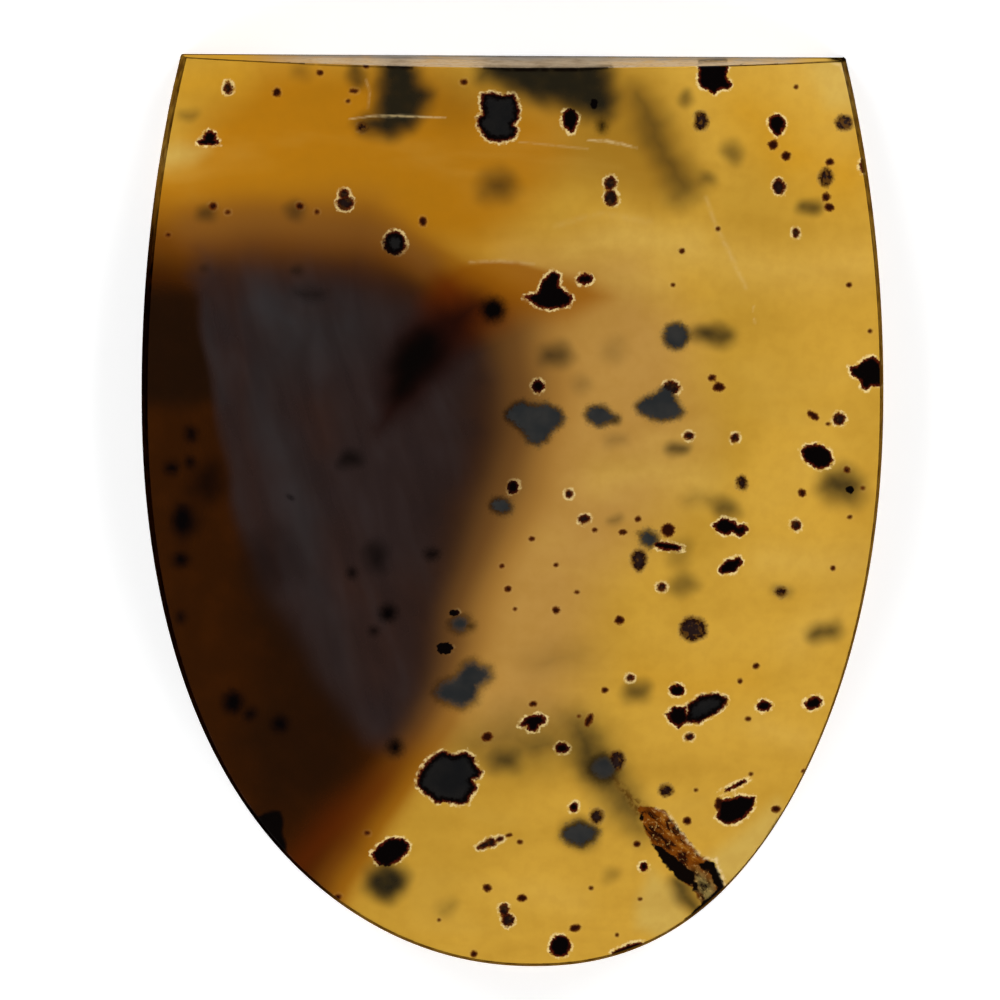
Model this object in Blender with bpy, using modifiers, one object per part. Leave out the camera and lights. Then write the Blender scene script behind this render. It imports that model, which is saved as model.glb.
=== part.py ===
"""Montana agate cabochon: one polished stone with a low dome on a flat back.

All lengths are in metres. The stone lies on its back with +Z up, its straight
saw-cut edge towards +Y and its round tip towards -Y. The origin is on the back,
under the middle of the stone.
"""

import math

import bpy

# Outline at the back, measured from the stone's widest line
HALF_WIDTH = 0.0148
TIP_REACH = 0.0230
SHOULDER_REACH = 0.0301
CUT_REACH = 0.01347
TIP_ROUNDNESS = 2.16
TIP_LEAN = 0.0009
TIP_LEAN_POWER = 5
CUT_SLOPE = math.radians(0.43)
CUT_LEAN = math.radians(2.4)

# Section through the stone
CROWN_HEIGHT = 0.0050
WALL_HEIGHT = 0.0019
WALL_HEIGHT_AT_CUT = 0.0011
WALL_THINNING = 0.0120
WALL_DRAFT = math.radians(5)
EDGE_ROUNDING = 0.00015

# Facets
SPOKES = 112
DOME_RINGS = 13
EDGE_SEGMENTS = 2
SHARP_EDGE = math.radians(28)
MERGE_DISTANCE = 0.00001

# Values worked out from the ones above
WIDEST_LINE_Y = (TIP_REACH - CUT_REACH) / 2
CUT_Y = WIDEST_LINE_Y + CUT_REACH
WALL_TOP_RADIUS = HALF_WIDTH - WALL_HEIGHT * math.tan(WALL_DRAFT)
DOME_RISE = CROWN_HEIGHT - WALL_HEIGHT
DOME_RADIUS = (WALL_TOP_RADIUS**2 + DOME_RISE**2) / (2 * DOME_RISE)

AGATE_HONEY = (0.54, 0.29, 0.06, 1.0)
AGATE_ROUGHNESS = 0.12


def clear_scene():
    for old in list(bpy.data.objects):
        bpy.data.objects.remove(old, do_unlink=True)


def new_collection(name):
    collection = bpy.data.collections.new(name)
    bpy.context.scene.collection.children.link(collection)
    return collection


def polished_agate():
    """Glossy honey-coloured chalcedony, the stone's overall colour."""
    material = bpy.data.materials.new("polished_agate")
    material.use_nodes = True
    shader = material.node_tree.nodes["Principled BSDF"]
    shader.inputs["Base Color"].default_value = AGATE_HONEY
    shader.inputs["Roughness"].default_value = AGATE_ROUGHNESS
    shader.inputs["Metallic"].default_value = 0.0
    return material


def dome_height(radius):
    """Height of the round dome's arc above the back, at a distance from its middle."""
    arc_centre = CROWN_HEIGHT - DOME_RADIUS
    return arc_centre + math.sqrt(DOME_RADIUS**2 - radius**2)


def section_profile():
    """Half section from the crown, over the dome, down the wall and along the back."""
    profile = []
    for ring in range(DOME_RINGS + 1):
        radius = WALL_TOP_RADIUS * ring / DOME_RINGS
        profile.append((radius, dome_height(radius)))
    profile.append((HALF_WIDTH, 0.0))
    profile.append((0.0, 0.0))
    return profile


def turned_round():
    """The section turned into a round cabochon, as a mesh of its own."""
    profile = section_profile()
    points = [(radius, 0.0, height) for radius, height in profile]
    edges = [(i, i + 1) for i in range(len(points) - 1)]
    outline = bpy.data.meshes.new("section")
    outline.from_pydata(points, edges, [])
    turned = bpy.data.objects.new("turned", outline)
    bpy.context.scene.collection.objects.link(turned)
    screw = turned.modifiers.new("turn", "SCREW")
    screw.axis = "Z"
    screw.steps = SPOKES
    screw.render_steps = SPOKES
    screw.use_merge_vertices = True
    screw.merge_threshold = MERGE_DISTANCE
    screw.use_smooth_shade = True
    bpy.context.view_layer.update()
    evaluated = turned.evaluated_get(bpy.context.evaluated_depsgraph_get())
    mesh = bpy.data.meshes.new_from_object(evaluated)
    bpy.data.objects.remove(turned, do_unlink=True)
    bpy.data.meshes.remove(outline)
    return mesh


def outline_radius(angle):
    """Distance from the widest line's middle to the outline along a spoke."""
    across = abs(math.cos(angle)) / HALF_WIDTH
    along = abs(math.sin(angle))
    if math.sin(angle) > 0:
        return 1 / math.hypot(across, along / SHOULDER_REACH)
    power = TIP_ROUNDNESS
    return (across**power + (along / TIP_REACH) ** power) ** (-1 / power)


def wall_height_at(y):
    """The wall gets lower over the last stretch towards the saw cut."""
    share = min(max((CUT_Y - y) / WALL_THINNING, 0.0), 1.0)
    blend = share * share * (3 - 2 * share)
    return WALL_HEIGHT_AT_CUT + (WALL_HEIGHT - WALL_HEIGHT_AT_CUT) * blend


def shape_point(x, y, z):
    """Moves a point of the round cabochon to its place in the tongue-shaped one."""
    spoke = math.atan2(y, x)
    stretch = outline_radius(spoke) / HALF_WIDTH
    x, y = x * stretch, y * stretch
    towards_tip = max(-y / TIP_REACH, 0.0)
    x += TIP_LEAN * towards_tip**TIP_LEAN_POWER
    y += WIDEST_LINE_Y
    wall = wall_height_at(y)
    if z > WALL_HEIGHT:
        z = wall + (z - WALL_HEIGHT) * (CROWN_HEIGHT - wall) / DOME_RISE
    else:
        z = z * wall / WALL_HEIGHT
    return x, y, z


def saw_cut(collection):
    """The block that the saw takes away beyond the straight edge."""
    size = 4 * HALF_WIDTH
    bpy.ops.mesh.primitive_cube_add(size=size, location=(0, size / 2, 0))
    cutter = bpy.context.object
    cutter.name = "saw_cut"
    bpy.ops.object.transform_apply(location=True, rotation=False, scale=False)
    cutter.location = (0, CUT_Y, 0)
    cutter.rotation_euler = (CUT_LEAN, 0, -CUT_SLOPE)
    for other in cutter.users_collection:
        other.objects.unlink(cutter)
    collection.objects.link(cutter)
    cutter.hide_render = True
    cutter.display_type = "WIRE"
    return cutter


def build_stone(pieces, cutters):
    mesh = turned_round()
    mesh.name = "stone"
    for vertex in mesh.vertices:
        vertex.co = shape_point(*vertex.co)
    stone = bpy.data.objects.new("stone", mesh)
    pieces.objects.link(stone)
    mesh.materials.clear()
    mesh.materials.append(polished_agate())

    cut = stone.modifiers.new("straight_edge", "BOOLEAN")
    cut.operation = "DIFFERENCE"
    cut.solver = "EXACT"
    cut.object = saw_cut(cutters)

    edges = stone.modifiers.new("eased_edges", "BEVEL")
    edges.limit_method = "ANGLE"
    edges.angle_limit = SHARP_EDGE
    edges.width = EDGE_ROUNDING
    edges.segments = EDGE_SEGMENTS
    return stone


def main():
    clear_scene()
    pieces = new_collection("montana_agate")
    cutters = new_collection("cutters")
    build_stone(pieces, cutters)


main()
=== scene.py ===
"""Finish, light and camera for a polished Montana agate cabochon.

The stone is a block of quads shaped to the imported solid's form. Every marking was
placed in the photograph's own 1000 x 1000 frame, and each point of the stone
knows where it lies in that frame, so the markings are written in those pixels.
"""

import math
from collections import namedtuple

import bpy
import numpy as np
from mathutils import Matrix, Vector


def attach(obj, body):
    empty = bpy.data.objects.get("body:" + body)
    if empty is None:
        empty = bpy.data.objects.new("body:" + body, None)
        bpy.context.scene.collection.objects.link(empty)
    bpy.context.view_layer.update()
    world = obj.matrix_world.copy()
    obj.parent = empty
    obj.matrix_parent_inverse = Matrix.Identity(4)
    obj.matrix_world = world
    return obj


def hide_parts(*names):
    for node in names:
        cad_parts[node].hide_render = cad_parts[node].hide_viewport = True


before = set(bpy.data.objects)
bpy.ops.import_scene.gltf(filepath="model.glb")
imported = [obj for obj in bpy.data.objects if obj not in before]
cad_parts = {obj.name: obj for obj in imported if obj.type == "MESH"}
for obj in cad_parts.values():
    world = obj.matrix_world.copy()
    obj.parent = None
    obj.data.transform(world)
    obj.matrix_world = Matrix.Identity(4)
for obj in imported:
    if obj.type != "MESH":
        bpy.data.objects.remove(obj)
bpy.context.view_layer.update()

MM = 0.001

# Form of the stone, in metres, the same values as the solid's
HALF_WIDTH = 0.0148
TIP_REACH = 0.0230
SHOULDER_REACH = 0.0301
CUT_REACH = 0.01347
TIP_ROUNDNESS = 2.16
TIP_LEAN = 0.0009
TIP_LEAN_POWER = 5
CUT_SLOPE = math.radians(0.43)
CUT_LEAN = math.radians(2.4)
CROWN_HEIGHT = 0.0050
WALL_HEIGHT = 0.0019
WALL_HEIGHT_AT_CUT = 0.0011
WALL_THINNING = 0.0120
WALL_DRAFT = math.radians(5)
WIDEST_LINE_Y = (TIP_REACH - CUT_REACH) / 2
CUT_Y = WIDEST_LINE_Y + CUT_REACH
WALL_TOP_RADIUS = HALF_WIDTH - WALL_HEIGHT * math.tan(WALL_DRAFT)
DOME_RISE = CROWN_HEIGHT - WALL_HEIGHT
DOME_RADIUS = (WALL_TOP_RADIUS**2 + DOME_RISE**2) / (2 * DOME_RISE)

# Mesh of the stone
QUADS_ACROSS = 112
QUADS_ALONG = 138
WALL_LEVELS = (0.0, 0.12, 0.28, 0.44, 0.58, 0.72, 0.86, 1.0)
SIDE_SHARE = 0.36
EASED_EDGE = 0.00007
EDGE_ANGLE = math.radians(30)
OUTLINE_SPAN = (100, 440)
OUTLINE_POINTS = 6801
# Quads this near to a crisp marking are cut in four, once for each value
FINE_BANDS_MM = (0.42, 0.20)
FINE_FROM_LEVEL = 0.01
# Flecks further away than this are not measured, and the start of a search for the nearest
FAR_MM = 3.0
FAR_PIXELS = 1e9
# Which faces belong to the dome or the back, and which to the saw cut
FACE_NORMAL = 0.85
CUT_NORMAL = 0.9
CUT_SKIN = 0.0003

# Photograph and camera
PHOTO_SIZE = 1000
MM_PER_PIXEL = 0.03988
PHOTO_MIDDLE = (512.6, 511.7)
VIEW_FROM_LEFT = math.radians(1.5)
VIEW_FROM_CUT = math.radians(5.0)
CAMERA_DISTANCE = 1.0
SENSOR_WIDTH = 36.0

# Studio
FLOOR_SIZE = 6.0
FLOOR_GAP = 0.00002
LAMP_DISTANCE = 0.6
LAMP_HEIGHT = 0.17
LAMP_SIZE = 0.44
LAMP_POWER = 2.9
TABLE_GLOW = 0.45
SKY_HEIGHTS = (0.25, 0.62)
SKY_LIGHTS = (1.0, 0.03)

# Agate
AGATE_IOR = 1.54
# Slow waves in the edges of its zones and shadows: their reach and length in pixels
ZONE_WAVES = (3.0, 46)
SHADOW_WAVES = (1.6, 11)
# How much wider than its blur a shadow fades, and how strong the lower dim zone is
SHADOW_SPREAD = 1.4
LOW_DIM_STRENGTH = 0.7

# A fleck's edge: the most it wanders, how far it swells out and its least softness
RAGGED_MM = 0.18
SWELL_MM = 0.025
SHARPEST_MM = 0.012
# Where a fleck's parts begin and are full, in mm from its edge, below zero inside it
RING_MM = (0.125, 0.035)
GREY_MM = (0.05, -0.14)
FRINGE_MM = (-0.13, -0.01)
RUST_MM = (-0.12, 0.0)
CRUMBS_OUT_MM = (0.12, 0.02)
CRUMBS_IN_MM = (-0.16, -0.04)

# Frost on the sawn end, in metres: its ends, its bottom's painted shade, its two tones, partly
# a painted reflection, and their drift
FROST_LEFT = (-0.0112, -0.0075)
FROST_RIGHT = (0.0122, 0.0105)
FROST_BOTTOM = (0.0006, 0.0003)
FROST_TONES = (0.0016, 0.0036)
FROST_DRIFT = 0.003


class Camera:
    """The camera's place and axes, and where it sees a point in the photograph."""

    def __init__(self):
        pixel = MM_PER_PIXEL * MM
        half = PHOTO_SIZE / 2
        aim_x = (half - PHOTO_MIDDLE[0]) * pixel
        aim_y = (PHOTO_MIDDLE[1] - half) * pixel
        self.aim = Vector((aim_x, aim_y, 0))
        tilt = (-math.tan(VIEW_FROM_LEFT), math.tan(VIEW_FROM_CUT), 1)
        self.back = Vector(tilt).normalized()
        self.right = Vector((0, 1, 0)).cross(self.back).normalized()
        self.up = self.back.cross(self.right)
        self.place = self.aim + self.back * CAMERA_DISTANCE
        self.lens = SENSOR_WIDTH * CAMERA_DISTANCE / (PHOTO_SIZE * pixel)

    def pixels(self, points):
        """Photograph pixels of points given as rows of x, y, z."""
        away = points - np.array(self.place)
        depth = -away @ np.array(self.back)
        scale = self.lens / SENSOR_WIDTH * PHOTO_SIZE
        across = away @ np.array(self.right) / depth * scale
        down = -(away @ np.array(self.up)) / depth * scale
        return PHOTO_SIZE / 2 + across, PHOTO_SIZE / 2 + down


camera = Camera()


def make_camera():
    data = bpy.data.cameras.new("camera")
    data.lens = camera.lens
    data.sensor_width = SENSOR_WIDTH
    data.clip_start = 0.01
    data.clip_end = 10
    holder = bpy.data.objects.new("camera", data)
    axes = Matrix((camera.right, camera.up, camera.back)).transposed()
    holder.matrix_world = Matrix.Translation(camera.place) @ axes.to_4x4()
    bpy.context.scene.collection.objects.link(holder)
    bpy.context.scene.camera = holder


# Form of the stone


def smooth_step(low, high, value):
    share = np.clip((value - low) / (high - low), 0, 1)
    return share * share * (3 - 2 * share)


def outline_radius(spoke):
    """Distance from the widest line's middle to the back's outline."""
    across = np.abs(np.cos(spoke)) / HALF_WIDTH
    along = np.abs(np.sin(spoke))
    upper = 1 / np.hypot(across, along / SHOULDER_REACH)
    power = TIP_ROUNDNESS
    lower = (across**power + (along / TIP_REACH) ** power) ** (-1 / power)
    return np.where(np.sin(spoke) > 0, upper, lower)


def wall_height_at(y):
    """The wall gets lower over the last stretch towards the saw cut."""
    blend = smooth_step(0, 1, (CUT_Y - y) / WALL_THINNING)
    return WALL_HEIGHT_AT_CUT + (WALL_HEIGHT - WALL_HEIGHT_AT_CUT) * blend


def lean_at(y_from_widest):
    """How far the round tip leans to one side."""
    return TIP_LEAN * np.clip(-y_from_widest / TIP_REACH, 0, 1.05) ** TIP_LEAN_POWER


def dome_height(x, y):
    """Height of the polished face over a point of the stone."""
    y_from_widest = y - WIDEST_LINE_Y
    x = x - lean_at(y_from_widest)
    spoke = np.arctan2(y_from_widest, x)
    radius = np.hypot(x, y_from_widest) / outline_radius(spoke) * HALF_WIDTH
    radius = np.minimum(radius, WALL_TOP_RADIUS)
    round_height = CROWN_HEIGHT - DOME_RADIUS + np.sqrt(DOME_RADIUS**2 - radius**2)
    wall = wall_height_at(y)
    return wall + (round_height - WALL_HEIGHT) * (CROWN_HEIGHT - wall) / DOME_RISE


def cut_line(x, z):
    """Y of the saw cut, which leans back and slopes a little across the stone."""
    return CUT_Y - x * math.tan(CUT_SLOPE) - z * math.tan(CUT_LEAN)


def outline_from_corner(share, z_at_corner):
    """Outline scaled to a share of its size, from the cut's left corner, round the tip,
    to the right corner, as points and their distance along it from 0 to 1."""
    spokes = np.radians(np.linspace(*OUTLINE_SPAN, OUTLINE_POINTS))
    reach = outline_radius(spokes) * share
    x = reach * np.cos(spokes)
    y = reach * np.sin(spokes)
    x = x + lean_at(y)
    y = y + WIDEST_LINE_Y
    inside = y <= cut_line(x, z_at_corner)
    x, y = x[inside], y[inside]
    steps = np.hypot(np.diff(x), np.diff(y))
    along = np.concatenate(([0], np.cumsum(steps)))
    return x, y, along / along[-1]


def fill_outline(u, v, share, z_at_corner, cut_z):
    """Places points of a unit square inside the outline, its top edge on the cut."""
    x, y, along = outline_from_corner(share, z_at_corner)

    def rim(distance):
        return np.array((np.interp(distance, along, x), np.interp(distance, along, y)))

    left = rim(SIDE_SHARE * (1 - v))
    right = rim(1 - SIDE_SHARE * (1 - v))
    bottom = rim(SIDE_SHARE + (1 - 2 * SIDE_SHARE) * u)
    top_left, top_right = rim(0.0), rim(1.0)
    low_left, low_right = rim(SIDE_SHARE), rim(1 - SIDE_SHARE)
    top_x = top_left[0] + (top_right[0] - top_left[0]) * u
    top_y = cut_line(top_x, cut_z(top_x))
    top = np.array((top_x, top_y))
    corners = (
        np.outer(low_left, (1 - u) * (1 - v))
        + np.outer(low_right, u * (1 - v))
        + np.outer(top_left, (1 - u) * v)
        + np.outer(top_right, u * v)
    )
    return (1 - v) * bottom + v * top + (1 - u) * left + u * right - corners


def cut_edge_height(x):
    """Height of the face where it meets the cut."""
    z = np.full_like(x, WALL_HEIGHT_AT_CUT)
    for _ in range(4):
        z = dome_height(x, cut_line(x, z))
    return z


def stone_points(u, v, level):
    """The stone's point for a point of the unit block: level 0 is the back, 1 the face."""
    top_share = WALL_TOP_RADIUS / HALF_WIDTH
    face_x, face_y = fill_outline(u, v, top_share, WALL_HEIGHT_AT_CUT, cut_edge_height)
    face = np.array((face_x, face_y, dome_height(face_x, face_y)))
    back_x, back_y = fill_outline(u, v, 1.0, 0.0, np.zeros_like)
    back = np.array((back_x, back_y, np.zeros_like(back_x)))
    return (back + (face - back) * level).T


def rows_of(items, name):
    """A place stored on each point or face of a mesh, as rows of x, y, z."""
    flat = np.empty(len(items) * 3)
    items.foreach_get(name, flat)
    return flat.reshape(-1, 3)


# Markings, in photograph pixels

# A row of a table of flecks is its middle, its two radii and, if any, its tilt in degrees
Fleck = namedtuple("Fleck", "x y rx ry tilt", defaults=(0,))
# How a kind of fleck looks: blur, depth and border in mm, the others shares from 0 to 1
Look = namedtuple("Look", "blur depth tint halo grey border gaps", defaults=(0.0,) * 5)

# Near the face: coal black, with a pale ring where light leaks round them
BLACK = Look(blur=0.03, depth=0.2, halo=1.0, border=0.1)
BLACK_FLECKS = (
    (570, 119, 8, 10), (571, 127, 4, 6), (594, 104, 3, 4.5), (777, 123, 8, 8.5),
    (778, 130, 5, 5), (863.5, 166, 3.5, 6.5), (585, 279, 7.5, 5.2), (538, 386, 5.6, 6),
    (513, 487, 5.6, 6.5), (677, 690, 7, 5.4), (764, 706, 7.4, 4.8, 12),
    (813, 703, 8.8, 5.6, 20), (562, 748, 6.4, 4.8), (736, 785.5, 11.5, 2.0, 25),
    (574, 807, 4.4, 4.6), (644, 867, 4, 4), (560, 946, 10.4, 10.8), (627, 949, 15, 3.6, 20),
    (454, 613, 4.5, 3), (445, 648, 7.4, 5.6), (850, 490, 3.4, 3.2), (667, 546, 14, 3.4, -8),
    (210, 137, 6, 6), (208, 142, 10, 3.2),
)
BLACK_PATCHES = (
    ((697, 60), (727, 60), (728, 68), (726, 76), (731, 84), (728, 89), (721, 88),
     (714, 94), (708, 89), (701, 87), (698, 82), (699, 72)),
    ((524, 297), (538, 292), (543, 280), (552, 271), (560, 275), (559, 286), (573, 298),
     (569, 305), (555, 308), (546, 309), (536, 305)),
    ((849, 367), (857, 366), (863, 360), (872, 357), (878, 361), (884, 371), (884, 385),
     (872, 386), (866, 390), (861, 387), (861, 381), (851, 374)),
    ((716, 818), (720, 811), (718, 802), (726, 799), (740, 796), (754, 797), (754, 806),
     (746, 816), (737, 822), (728, 824)),
    ((372, 854), (378, 846), (388, 839), (403, 838), (409, 844), (408, 853), (400, 859),
     (388, 866), (379, 864), (374, 859)),
    ((519, 726), (525, 718), (538, 714), (546, 718), (545, 723), (538, 725), (537, 731),
     (529, 731), (527, 726)),
    ((801, 451), (806, 446), (821, 444), (829, 450), (833, 459), (829, 467), (818, 469),
     (805, 461)),
    ((714, 525), (722, 518), (734, 521), (738, 526), (745, 525), (748, 530), (740, 536),
     (732, 532), (724, 535), (717, 531)),
    ((719, 570), (727, 560), (740, 557), (742, 563), (735, 572), (722, 574)),
    ((666, 714), (673, 707), (686, 707), (688, 719), (679, 728), (670, 721)),
)

# Small or thin near the face, so that the light turns them reddish brown
BROWN = Look(blur=0.05, depth=0.3, tint=0.85, halo=0.05, border=0.1)
BROWN_FLECKS = (
    (277, 92, 4, 4.2), (320, 73, 3, 2.8), (464, 82, 3.4, 3), (366, 66, 2.5, 2), (354, 91, 4, 2),
    (348, 101, 2, 1.6), (213, 206, 3.6, 3.6), (228, 212, 2.4, 2.2), (300, 206, 3.4, 3.2),
    (317, 212, 2.2, 2.2), (423, 221, 3.2, 4.6), (168, 235, 2.2, 1.8), (773, 145, 4.6, 4.6),
    (786, 156, 4.4, 4.2), (796, 87, 2, 1.8), (830, 162, 3.8, 3.4), (826, 197, 4, 4),
    (829, 207, 4.4, 4), (682, 251, 2.8, 2.6), (718, 229, 2, 2), (849, 285, 2.6, 2.2),
    (870, 331, 2, 1.8), (673, 285, 2, 1.6), (712, 378, 4, 3.2), (719, 387, 5.4, 4.4),
    (813, 415, 6.5, 3, -35), (828, 424, 2, 1.4), (847, 470, 3.2, 3), (863, 488, 2, 1.6),
    (802, 493, 3.6, 4), (850, 517, 2.2, 1.6), (595, 530, 2.6, 2.2), (623, 532, 3.8, 2.4),
    (638, 519, 3, 2.6), (668, 530, 6.6, 6.8), (532, 539, 3, 2), (833, 568, 2.2, 2.2),
    (502, 566, 2.2, 2), (556, 565, 2.2, 1.8), (577, 592, 2.4, 1.6), (508, 589, 3, 2.6),
    (515, 609, 2, 1.6), (556, 610, 3.8, 3.4), (619, 620, 4.6, 4.2), (605, 690, 3, 2.6),
    (756, 666, 2.8, 2.6), (740, 681, 2.2, 2.2), (748, 719, 2.8, 2), (533, 704, 3.4, 2.4),
    (589, 720, 2.6, 7, -25), (579, 716, 1.6, 1.4), (696, 790, 1.8, 1.6), (751, 774, 2.2, 1.4),
    (804, 771, 2.4, 2), (776, 809, 4.2, 3.2), (759, 850, 3, 2.6), (637, 844, 3.2, 2.4),
    (591, 888, 2, 1.6), (640, 899, 2, 1.4), (617, 935, 1.6, 1.6), (575, 928, 6, 3.4, 10),
    (487, 737, 5.2, 4.4), (687, 821, 4, 3.6), (487, 888, 3.6, 3.6), (522, 898, 4.6, 3),
    (474, 954, 3.4, 3), (338, 897, 3.2, 2.6), (367, 833, 2.8, 2), (439, 920, 1.6, 1.4),
    (509, 835, 3, 1.6, 15), (520, 842, 2.6, 1.8), (719, 804, 4, 6),
)

# Small and thin-edged near the face: maroon where the light comes through, and ringed
MAROON = Look(blur=0.05, depth=0.25, tint=0.35, halo=0.9, grey=0.25, border=0.1, gaps=0.15)
MAROON_FLECKS = (
    (484, 845, 7.4, 3, 25), (491, 842, 4.8, 4.4), (500, 839, 4, 2.4, 15), (504, 910, 5, 5.4),
    (508, 920, 6, 6.6), (228, 88, 4.6, 6), (610, 183, 5.5, 6.5), (611, 198, 6.5, 8),
    (689, 436, 4.8, 3.6), (735, 438, 3.8, 4.5), (569, 494, 3.8, 3.8), (662, 587, 4.4, 4.2),
    (630, 678, 4.2, 3.2), (839, 419, 6, 5.5), (779, 187, 5.8, 7.5), (796, 233, 3.6, 4.4),
    (796, 525, 4.4, 5.4, 25), (689, 737, 4.4, 3.2, 15), (584, 519, 6, 4.2), (671, 388, 8, 7),
    (345, 203, 8, 7), (344, 194, 5, 4.5),
)

# A little under the face: speckled, half brown and half grey
MOTTLED = Look(blur=0.12, depth=0.5, tint=0.5, halo=0.1, grey=0.5, border=0.12, gaps=0.4)
MOTTLED_FLECKS = (
    (701, 121, 6.6, 10), (844, 123, 8, 7.4), (826, 177, 6.4, 9), (742, 483, 5.2, 6.5),
    (639, 560, 7.4, 11), (693, 629, 13.5, 12), (617, 761, 7.6, 9.5), (597, 816, 7, 7),
    (666, 790, 7, 5.6), (781, 592, 5.4, 4.4), (362, 128, 5, 4),
)

# Large and just under the face: ink black, a little grey at heart, and ringed
INKY = Look(blur=0.05, depth=0.3, halo=1.0, grey=0.3, border=0.2, gaps=0.1)
INKY_FLECKS = ((395, 243, 11, 11.5),)
INKY_PATCHES = (
    ((685, 722), (688, 704), (701, 695), (717, 693), (727, 698), (726, 706), (714, 715),
     (699, 723)),
    ((482, 94), (493, 92), (499, 95), (514, 94), (519, 106), (518, 119), (514, 125),
     (518, 129), (515, 137), (507, 141), (497, 142), (487, 139), (482, 132), (477, 125),
     (478, 117), (483, 114), (481, 104)),
    ((417, 780), (420, 771), (425, 765), (431, 757), (443, 751), (454, 755), (467, 752),
     (474, 758), (477, 767), (482, 772), (478, 778), (473, 780), (477, 788), (471, 794),
     (468, 803), (459, 804), (451, 803), (444, 802), (436, 803), (432, 798), (426, 794),
     (417, 786)),
)

# Further down: slate grey through the milky agate, with a speckled dark edge
SLATE = Look(blur=0.2, depth=0.9, halo=0.1, grey=0.95, border=0.06, gaps=0.5)
SLATE_FLECKS = ((676, 336, 13, 13.5), (501, 506, 10.8, 8, -10))
SLATE_PATCHES = (
    ((506, 419), (505, 412), (515, 403), (523, 400), (529, 404), (548, 403), (561, 410),
     (565, 418), (560, 426), (551, 433), (547, 441), (538, 446), (528, 442), (519, 429)),
    ((584, 415), (589, 407), (602, 405), (610, 411), (618, 417), (610, 424), (600, 427),
     (589, 423)),
    ((634, 406), (643, 398), (658, 392), (664, 385), (673, 388), (676, 399), (684, 412),
     (679, 418), (663, 422), (650, 419), (640, 413)),
    ((638, 534), (648, 529), (657, 534), (659, 542), (650, 548), (642, 544)),
    ((561, 836), (566, 826), (579, 821), (592, 826), (600, 831), (594, 840), (582, 847),
     (569, 844)),
)

# Deeper still: slate grey with a soft edge
SUNKEN = Look(blur=0.32, depth=1.4, grey=0.85, gaps=0.15)
SUNKEN_FLECKS = ((604, 768, 12.5, 11.5), (460, 624, 10, 8))
SUNKEN_PATCHES = (
    ((434, 692), (440, 683), (455, 676), (464, 663), (475, 660), (482, 665), (490, 667),
     (492, 678), (480, 688), (476, 701), (463, 709), (450, 705), (439, 700)),
)

# Seen through a little milk, with no ring
SOOT = Look(blur=0.3, depth=1.2, border=0.1, gaps=0.1)
SOOT_FLECKS = (
    (493, 310, 12, 12), (233, 702, 9.5, 10.5), (250, 714, 5.5, 4.5), (280, 724, 7, 7.5),
    (388, 613, 8, 8), (181, 560, 7, 6.5), (191, 434, 5, 6), (172, 468, 6, 5.5),
    (190, 462, 4, 4.5), (181, 617, 3, 4), (395, 747, 7, 7.5), (432, 554, 6, 4),
    (602, 126, 4, 5.5), (469, 626, 4.4, 3), (182, 520, 9, 13), (374, 631, 2.6, 2.6),
    (352, 573, 3, 3.6),
)

# Deep in the stone or behind its smoke: soft shadows
Shadow = namedtuple("Shadow", "x y rx ry strength blur tilt", defaults=(0,))
SHADOWS = (
    (358, 77, 8, 13, 0.5, 6), (187, 114, 9, 5, 0.25, 5), (302, 72, 8, 7, 0.22, 7),
    (208, 213, 9, 7, 0.45, 6), (296, 212, 9, 8, 0.4, 6), (497, 187, 16, 12, 0.5, 12),
    (685, 98, 6, 7, 0.4, 5), (733, 151, 9, 10, 0.4, 7), (811, 206, 12, 7, 0.5, 5),
    (707, 180, 8, 6, 0.3, 5), (717, 336, 18, 10, 0.55, 7), (698, 334, 14, 6, 0.35, 6),
    (557, 356, 15, 10, 0.5, 8), (676, 448, 11, 6, 0.5, 5), (843, 487, 20, 15, 0.7, 12, -15),
    (725, 508, 13, 9, 0.45, 7), (700, 500, 18, 7, 0.15, 7), (682, 584, 14, 10, 0.38, 7),
    (680, 553, 12, 14, 0.22, 7), (825, 632, 17, 8, 0.55, 7, 6), (638, 693, 13, 9, 0.5, 7, 20),
    (386, 881, 19, 17, 0.86, 9), (505, 762, 15, 10, 0.5, 8, 10), (610, 875, 8, 7, 0.2, 5),
    (448, 908, 12, 6, 0.2, 6, 40), (581, 834, 18, 14, 0.5, 7), (781, 592, 10, 6, 0.25, 5),
    (614, 519, 8, 4, 0.25, 4), (378, 556, 10, 14, 0.45, 8), (349, 460, 11, 8, 0.5, 6),
    (270, 560, 20, 30, 0.25, 14, 20), (185, 522, 12, 18, 0.4, 8),
    (418, 357, 26, 16, 1.0, 13, 42), (403, 384, 8, 16, 0.7, 10, -30),
    (452, 98, 30, 28, 0.13, 20), (600, 768, 17, 14, 0.45, 9), (298, 271, 5, 4, 0.35, 4),
    (206, 268, 4, 4, 0.25, 3), (310, 294, 14, 6, 0.3, 7), (291, 499, 3, 3, 0.4, 2),
    (208, 482, 14, 18, 0.55, 12), (686, 894, 22, 8, 0.6, 7, -56), (618, 420, 5, 4, 0.5, 3),
    (615, 350, 12, 12, 0.12, 8), (580, 385, 10, 8, 0.14, 6), (556, 660, 30, 12, 0.12, 18, 10),
    (540, 745, 16, 6, 0.2, 8), (615, 440, 12, 6, 0.16, 6),
)
SOFT_PATCHES = (
    (((482, 46), (608, 46), (612, 98), (609, 113), (588, 114), (562, 106), (530, 96),
      (502, 84), (484, 77)), 0.95, 17),
    (((384, 56), (412, 56), (418, 80), (428, 96), (422, 110), (411, 128), (388, 134),
      (364, 130), (360, 124), (374, 117), (376, 104), (382, 78)), 0.95, 15),
    (((240, 800), (258, 816), (265, 812), (280, 813), (284, 829), (286, 853), (262, 845),
      (240, 822)), 1.0, 3),
)

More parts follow.
